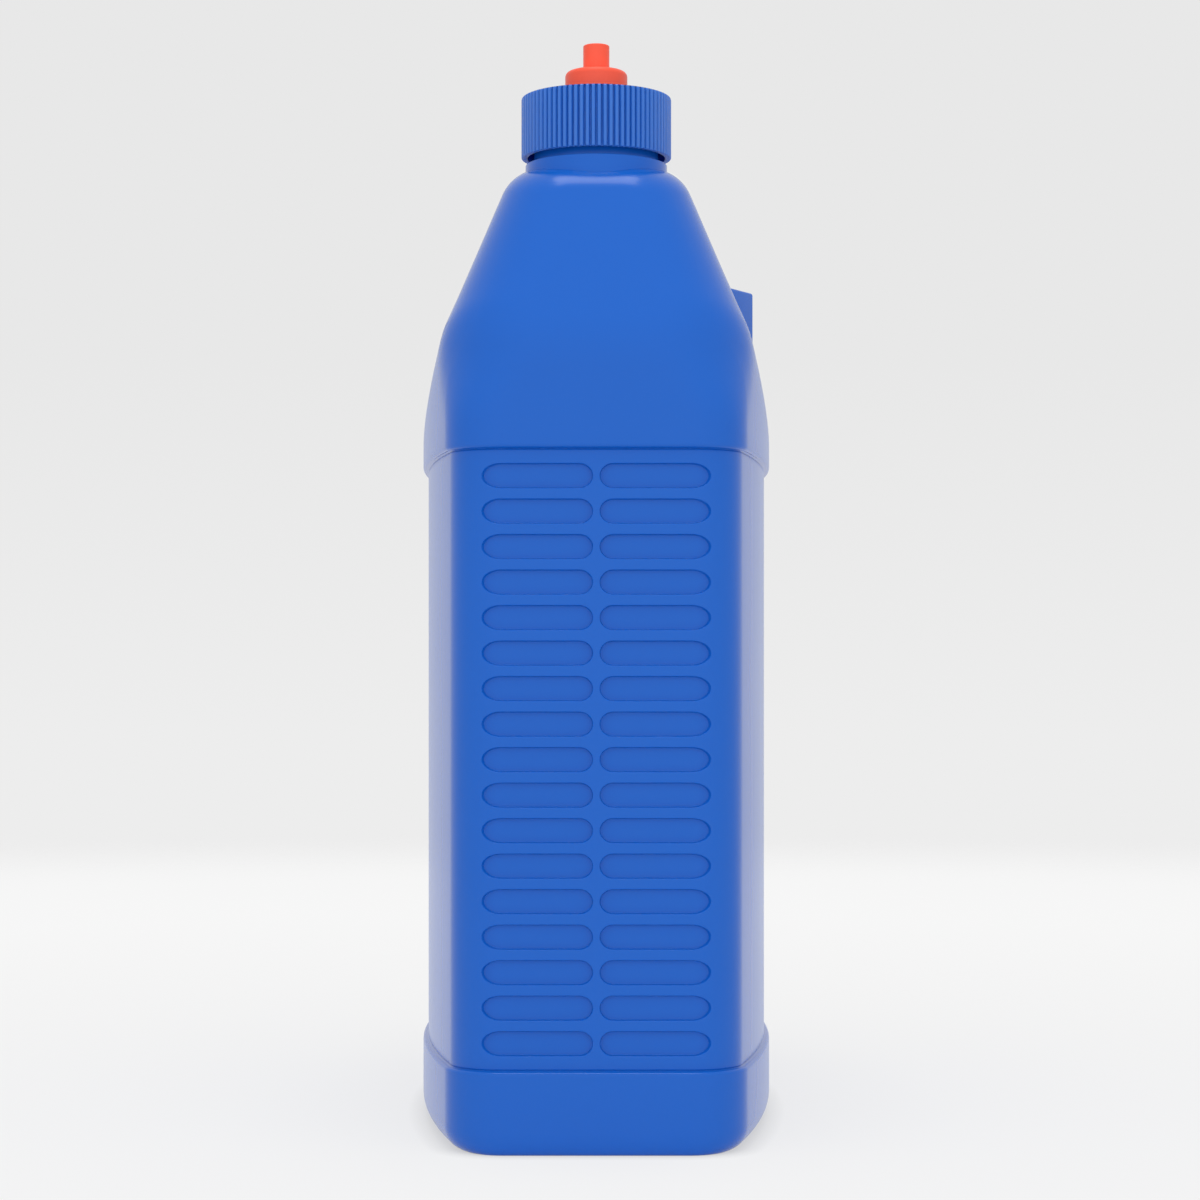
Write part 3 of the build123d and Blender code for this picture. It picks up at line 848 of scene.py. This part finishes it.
# %% [markdown]
# ## Cap
#
# The cap's skirt has eighty ribs. Its outline seen from above is a circle whose radius drops in a rounded
# groove between each two ribs, and a profile of heights carries that outline up. The grooves fade out at the
# top edge, as on a moulded cap.

# %% Cap skin
RIBS = 80
RIB_DEPTH = 1.15
RIB_SAMPLES = 12
GROOVE_FLOOR, GROOVE_TOP = 0.12, 0.27
TURRET_R = 5.6
TURRET_BORE_R = 4.2
BEAD = 0.7
BEAD_HEIGHT = 0.9
TURRET_TOP = CAP_TOP + 5.6


def rib_shape(share):
    """How deep the skirt is cut round one rib: none on the land, and a rounded groove between lands."""
    from_groove = np.abs(share - np.round(share))
    return 1 - ramp(from_groove, GROOVE_FLOOR, GROOVE_TOP)


def cap_skin():
    """Rows of the cap: (radius, height) points, each with its share of the ribs' depth cut in."""
    columns = RIBS * RIB_SAMPLES
    angle = np.linspace(0, 2 * np.pi, columns, endpoint=False)
    cut = RIB_DEPTH * rib_shape(np.arange(columns) / RIB_SAMPLES)
    outline = rounded_outline(
        [(CAP_BORE_R, CAP_BOTTOM), (CAP_R, CAP_BOTTOM), (CAP_R, CAP_TOP), (TURRET_R, CAP_TOP),
         (TURRET_R, TURRET_TOP - BEAD_HEIGHT), (TURRET_R + BEAD, TURRET_TOP - BEAD_HEIGHT),
         (TURRET_R + BEAD, TURRET_TOP), (TURRET_BORE_R, TURRET_TOP), (TURRET_BORE_R, CAP_CEILING),
         (CAP_BORE_R, CAP_CEILING)],
        [0.25, 0.3, 0.6, 0.3, 0.1, 0.2, 0.4, 0.2, 0.2, 0.5], 5)
    radius, height = outline[:, :1], outline[:, 1:]
    ribbed = ramp(radius, CAP_R - 0.62, CAP_R - 0.2) * (height < CAP_TOP + 0.01)
    radius = radius - cut * ribbed
    x = radius * np.cos(angle)
    y = NECK_Y + radius * np.sin(angle)
    return np.stack([x, y, np.broadcast_to(height, x.shape)], axis=-1)


cap_rows = cap_skin()
cap = add_piece("cap_shell", cap_rows, grid_quads(len(cap_rows), cap_rows.shape[1], wrap_rows=True),
                cap_plastic, "cap")
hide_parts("cap")
cap_thread = thread(CAP_BORE_R, 1.25, NECK_THREAD_START + PITCH / 2, 1.25, inward=True)
add_thread("cap_thread", cap_thread, cap_plastic, "cap", False)

# %% [markdown]
# Inside the turret a post carries the plug that closes the spout's mouth. Three webs hold the post, and
# the liquid runs up between them.

# %% Post, plug and webs
POST_R = 1.5
PLUG_R = 1.7
MOUTH_BOTTOM = SPOUT_TOP - 1.7
PLUG_TOP = MOUTH_BOTTOM + 1.4
WEB_HALF = 0.55
POST_COLUMNS = 48
post_profile = rounded_outline(
    [(0.0, CAP_CEILING), (POST_R, CAP_CEILING), (POST_R, MOUTH_BOTTOM), (PLUG_R, MOUTH_BOTTOM),
     (PLUG_R, PLUG_TOP), (0.0, PLUG_TOP)],
    [0.01, 0.1, 0.05, 0.05, 0.2, 0.01])
post_rows = revolve(post_profile, POST_COLUMNS)
post_quads = grid_quads(len(post_rows), POST_COLUMNS, wrap_rows=True)
add_piece("plug_post", post_rows, post_quads, cap_plastic, "cap")


def web(turn):
    """One web: a thin upright plate from the post to the turret's wall, turned about the axis."""
    flat = rounded_outline([(POST_R - 0.6, -WEB_HALF), (TURRET_BORE_R + 0.4, -WEB_HALF),
                            (TURRET_BORE_R + 0.4, WEB_HALF), (POST_R - 0.6, WEB_HALF)], 0.15, 3)
    x = flat[:, 0] * math.cos(turn) - flat[:, 1] * math.sin(turn)
    y = NECK_Y + flat[:, 0] * math.sin(turn) + flat[:, 1] * math.cos(turn)
    levels = [CAP_CEILING + 0.05, CAP_CEILING + 2.9]
    rows = np.stack([np.column_stack([x, y, np.full(len(x), z)]) for z in levels])
    middle = rows.mean(axis=1, keepdims=True)
    return np.concatenate([middle[:1] + 0 * rows[:1], rows, middle[1:] + 0 * rows[:1]])


for number in range(3):
    rows = web(2 * math.pi * number / 3)
    quads = grid_quads(len(rows), rows.shape[1])
    add_piece(f"post_web_{number + 1}", rows, quads, cap_plastic, "cap", sharp=40)

# %% [markdown]
# ## Spout
#
# The spout is a stem on a round base. It is hollow: a lip at its foot snaps over the turret's bead, and a
# narrow mouth at its tip fits over the plug. Pulled up, it leaves the plug and lets liquid through.

# %% Spout skin
STEM_R = 3.5
BORE_R = 2.45
MOUTH_R = 1.75
BASE_TOP = CAP_TOP + 7.2
ROOF_Z = BASE_TOP - 0.9
LIP_R = TURRET_R + 0.3
ROOM_R = TURRET_R + BEAD + 0.3
spout_profile = rounded_outline(
    [(LIP_R, CAP_TOP), (SPOUT_R, CAP_TOP), (SPOUT_R, BASE_TOP), (STEM_R, BASE_TOP), (STEM_R, SPOUT_TOP),
     (MOUTH_R, SPOUT_TOP), (MOUTH_R, MOUTH_BOTTOM), (BORE_R, MOUTH_BOTTOM), (BORE_R, ROOF_Z),
     (ROOM_R, ROOF_Z), (ROOM_R, CAP_TOP + BEAD_HEIGHT), (LIP_R, CAP_TOP + BEAD_HEIGHT)],
    [0.2, 0.3, 1.5, 0.6, 0.35, 0.2, 0.1, 0.1, 0.2, 0.3, 0.1, 0.2], 7)
SPOUT_COLUMNS = 128
spout_rows = revolve(spout_profile, SPOUT_COLUMNS)
spout = add_piece("spout_shell", spout_rows, grid_quads(len(spout_rows), SPOUT_COLUMNS, wrap_rows=True),
                  spout_plastic, "spout")
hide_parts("spout")

# %% [markdown]
# ## Liner
#
# The liner is a flat foam ring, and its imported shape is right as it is. It only needs its material.

# %% Liner finish
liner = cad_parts["cap_gasket"]
liner.data.materials.clear()
liner.data.materials.append(gasket_foam)

# %% [markdown]
# ## Camera
#
# The photograph looks level at the narrow end, with a long lens, from a little under a metre. The lens is
# shifted up and a little sideways, as the picture's frame is.

# %% Camera
IMAGE = 1200
HORIZON_ROW = 687.0
CENTRE_COLUMN = 596.3
camera_data = bpy.data.cameras.new("camera")
camera_data.lens = 85.0
camera_data.sensor_width = 36.0
camera_data.shift_x = (IMAGE / 2 - CENTRE_COLUMN) / IMAGE
camera_data.shift_y = (HORIZON_ROW - IMAGE / 2) / IMAGE
camera = bpy.data.objects.new("camera", camera_data)
camera.location = (0.0, -0.8246, 0.1194)
camera.rotation_euler = (math.pi / 2, 0.0, 0.0)
bpy.context.scene.collection.objects.link(camera)
bpy.context.scene.camera = camera

# %% [markdown]
# ## Floor, backdrop and light
#
# The floor is a pale disc that fades into the backdrop, so no edge shows from any side. What the camera
# and reflections see of it is mostly a glow of its own, a little brighter away from the middle, with a
# painted shadow where the jug stands: a narrow line in which the glow is dimmed close to the jug. The rest
# is lit like any surface. The world lights the jug softly from all round and more strongly from the front,
# where the photograph's light comes from. The camera and reflections see the backdrop instead of that
# light, and its reflection at a low angle gives the jug's sides their pale sheen.
# One weak lamp hangs above.

# %% Floor
STUDIO_FLOOR_R = 1.60
FADE_START, FADE_END = 0.90, 1.45
FLOOR_GREY = 0.90
GLOW_AT = (0.05, 0.65)
GLOW_STRENGTH = (0.915, 0.965)
GLOW_SHARE = 0.80
# Painted contact shadow: near the jug the floor's glow is dimmed by ambient occlusion, down to the darkest
# share.
PAINTED_SHADOW_REACH = 0.006
PAINTED_SHADOW_DARKEST = 0.72
PAINTED_SHADOW_SAMPLES = 8


def floor_material():
    """Pale matt floor whose cover fades to nothing with the distance from the middle."""
    material = bpy.data.materials.new("studio_floor")
    material.use_nodes = True
    tree = material.node_tree
    nodes, links = tree.nodes, tree.links
    shader = nodes["Principled BSDF"]
    shader.inputs["Base Color"].default_value = (FLOOR_GREY, FLOOR_GREY, FLOOR_GREY, 1)
    shader.inputs["Roughness"].default_value = 0.9
    shader.inputs["Specular IOR Level"].default_value = 0.1
    place = nodes.new("ShaderNodeTexCoord")
    length = nodes.new("ShaderNodeVectorMath")
    length.operation = "LENGTH"
    links.new(place.outputs["Object"], length.inputs[0])
    fade = map_range(tree, length.outputs["Value"], (FADE_START, FADE_END), (1.0, 0.0))
    fade.interpolation_type = "SMOOTHSTEP"

    glow = nodes.new("ShaderNodeEmission")
    brighten = map_range(tree, length.outputs["Value"], GLOW_AT, GLOW_STRENGTH)
    # Painted shadow: ambient occlusion dims the glow in a narrow line where the jug stands.
    painted_shadow_occlusion = nodes.new("ShaderNodeAmbientOcclusion")
    painted_shadow_occlusion.inputs["Distance"].default_value = PAINTED_SHADOW_REACH
    painted_shadow_occlusion.samples = PAINTED_SHADOW_SAMPLES
    painted_shadow = map_range(tree, painted_shadow_occlusion.outputs["AO"], (0.0, 1.0), (PAINTED_SHADOW_DARKEST, 1.0))
    glow_with_painted_shadow = combine(tree, "MULTIPLY", brighten.outputs["Result"], painted_shadow.outputs["Result"])
    links.new(glow_with_painted_shadow, glow.inputs["Strength"])

    path = nodes.new("ShaderNodeLightPath")
    seen = combine(tree, "MAXIMUM", path.outputs["Is Camera Ray"], path.outputs["Is Glossy Ray"])
    lit = nodes.new("ShaderNodeMixShader")
    links.new(combine(tree, "MULTIPLY", seen, GLOW_SHARE), lit.inputs["Fac"])
    links.new(shader.outputs["BSDF"], lit.inputs[1])
    links.new(glow.outputs["Emission"], lit.inputs[2])
    clear = nodes.new("ShaderNodeBsdfTransparent")
    cover = nodes.new("ShaderNodeMixShader")
    links.new(fade.outputs["Result"], cover.inputs["Fac"])
    links.new(clear.outputs["BSDF"], cover.inputs[1])
    links.new(lit.outputs["Shader"], cover.inputs[2])
    links.new(cover.outputs["Shader"], nodes["Material Output"].inputs["Surface"])
    return material


def disc(name, radius, rings=24, columns=96):
    """A flat disc of rings about the origin, in metres."""
    r = np.linspace(0, radius, rings)[:, None]
    angle = np.linspace(0, 2 * np.pi, columns, endpoint=False)
    points = np.stack([r * np.cos(angle), r * np.sin(angle), 0 * r * angle], axis=-1)
    mesh = bpy.data.meshes.new(name)
    mesh.from_pydata(points.reshape(-1, 3).tolist(), [], grid_quads(rings, columns)[:, ::-1].tolist())
    made = bpy.data.objects.new(name, mesh)
    bpy.context.scene.collection.objects.link(made)
    return made


floor = disc("studio_floor", STUDIO_FLOOR_R)
floor.data.materials.append(floor_material())

# %% World and lamp
BACKDROP_LOW = (0.847, 0.847, 0.847, 1)
BACKDROP_HIGH = (0.807, 0.807, 0.807, 1)
BACKDROP_SPAN = (-0.015, 0.115)
SIDE_STRENGTH = 0.50
FRONT_STRENGTH = 1.42


def studio_world():
    """Light for the surfaces by direction, and a plain backdrop for camera, glossy and clear rays.

    The light's strength grows from the sides to the front with the direction's share of minus y. The
    backdrop's colour changes with the direction's share of z.
    """
    world = bpy.data.worlds.new("studio")
    world.use_nodes = True
    tree = world.node_tree
    nodes, links = tree.nodes, tree.links
    light = nodes["Background"]
    light.inputs["Color"].default_value = (1, 1, 1, 1)
    place = nodes.new("ShaderNodeTexCoord")
    split = nodes.new("ShaderNodeSeparateXYZ")
    links.new(place.outputs["Object"], split.inputs["Vector"])
    strength = map_range(tree, split.outputs["Y"], (0.0, -1.0), (SIDE_STRENGTH, FRONT_STRENGTH))
    links.new(strength.outputs["Result"], light.inputs["Strength"])

    backdrop = nodes.new("ShaderNodeBackground")
    height = map_range(tree, split.outputs["Z"], BACKDROP_SPAN)
    tone = nodes.new("ShaderNodeMix")
    tone.data_type = "RGBA"
    tone.inputs["A"].default_value = BACKDROP_LOW
    tone.inputs["B"].default_value = BACKDROP_HIGH
    links.new(height.outputs["Result"], tone.inputs["Factor"])
    links.new(tone.outputs["Result"], backdrop.inputs["Color"])

    path = nodes.new("ShaderNodeLightPath")
    seen = combine(tree, "MAXIMUM", path.outputs["Is Camera Ray"], path.outputs["Is Glossy Ray"])
    seen = combine(tree, "MAXIMUM", seen, path.outputs["Is Transmission Ray"])
    mix = nodes.new("ShaderNodeMixShader")
    links.new(seen, mix.inputs["Fac"])
    links.new(light.outputs["Background"], mix.inputs[1])
    links.new(backdrop.outputs["Background"], mix.inputs[2])
    links.new(mix.outputs["Shader"], nodes["World Output"].inputs["Surface"])
    return world


bpy.context.scene.world = studio_world()


def lamp(name, place, size, watts, aim_at=(0, 0, 0.14)):
    """A square soft lamp that faces a point."""
    data = bpy.data.lights.new(name, "AREA")
    data.shape = "SQUARE"
    data.size = size
    data.energy = watts
    made = bpy.data.objects.new(name, data)
    made.location = place
    away = np.array(place) - np.array(aim_at)
    made.rotation_euler = Vector(away).to_track_quat("Z", "Y").to_euler()
    bpy.context.scene.collection.objects.link(made)


lamp("top_lamp", (0.0, -0.2, 2.2), 1.0, 11)

# %% Picture settings
bpy.context.scene.view_settings.view_transform = "Standard"
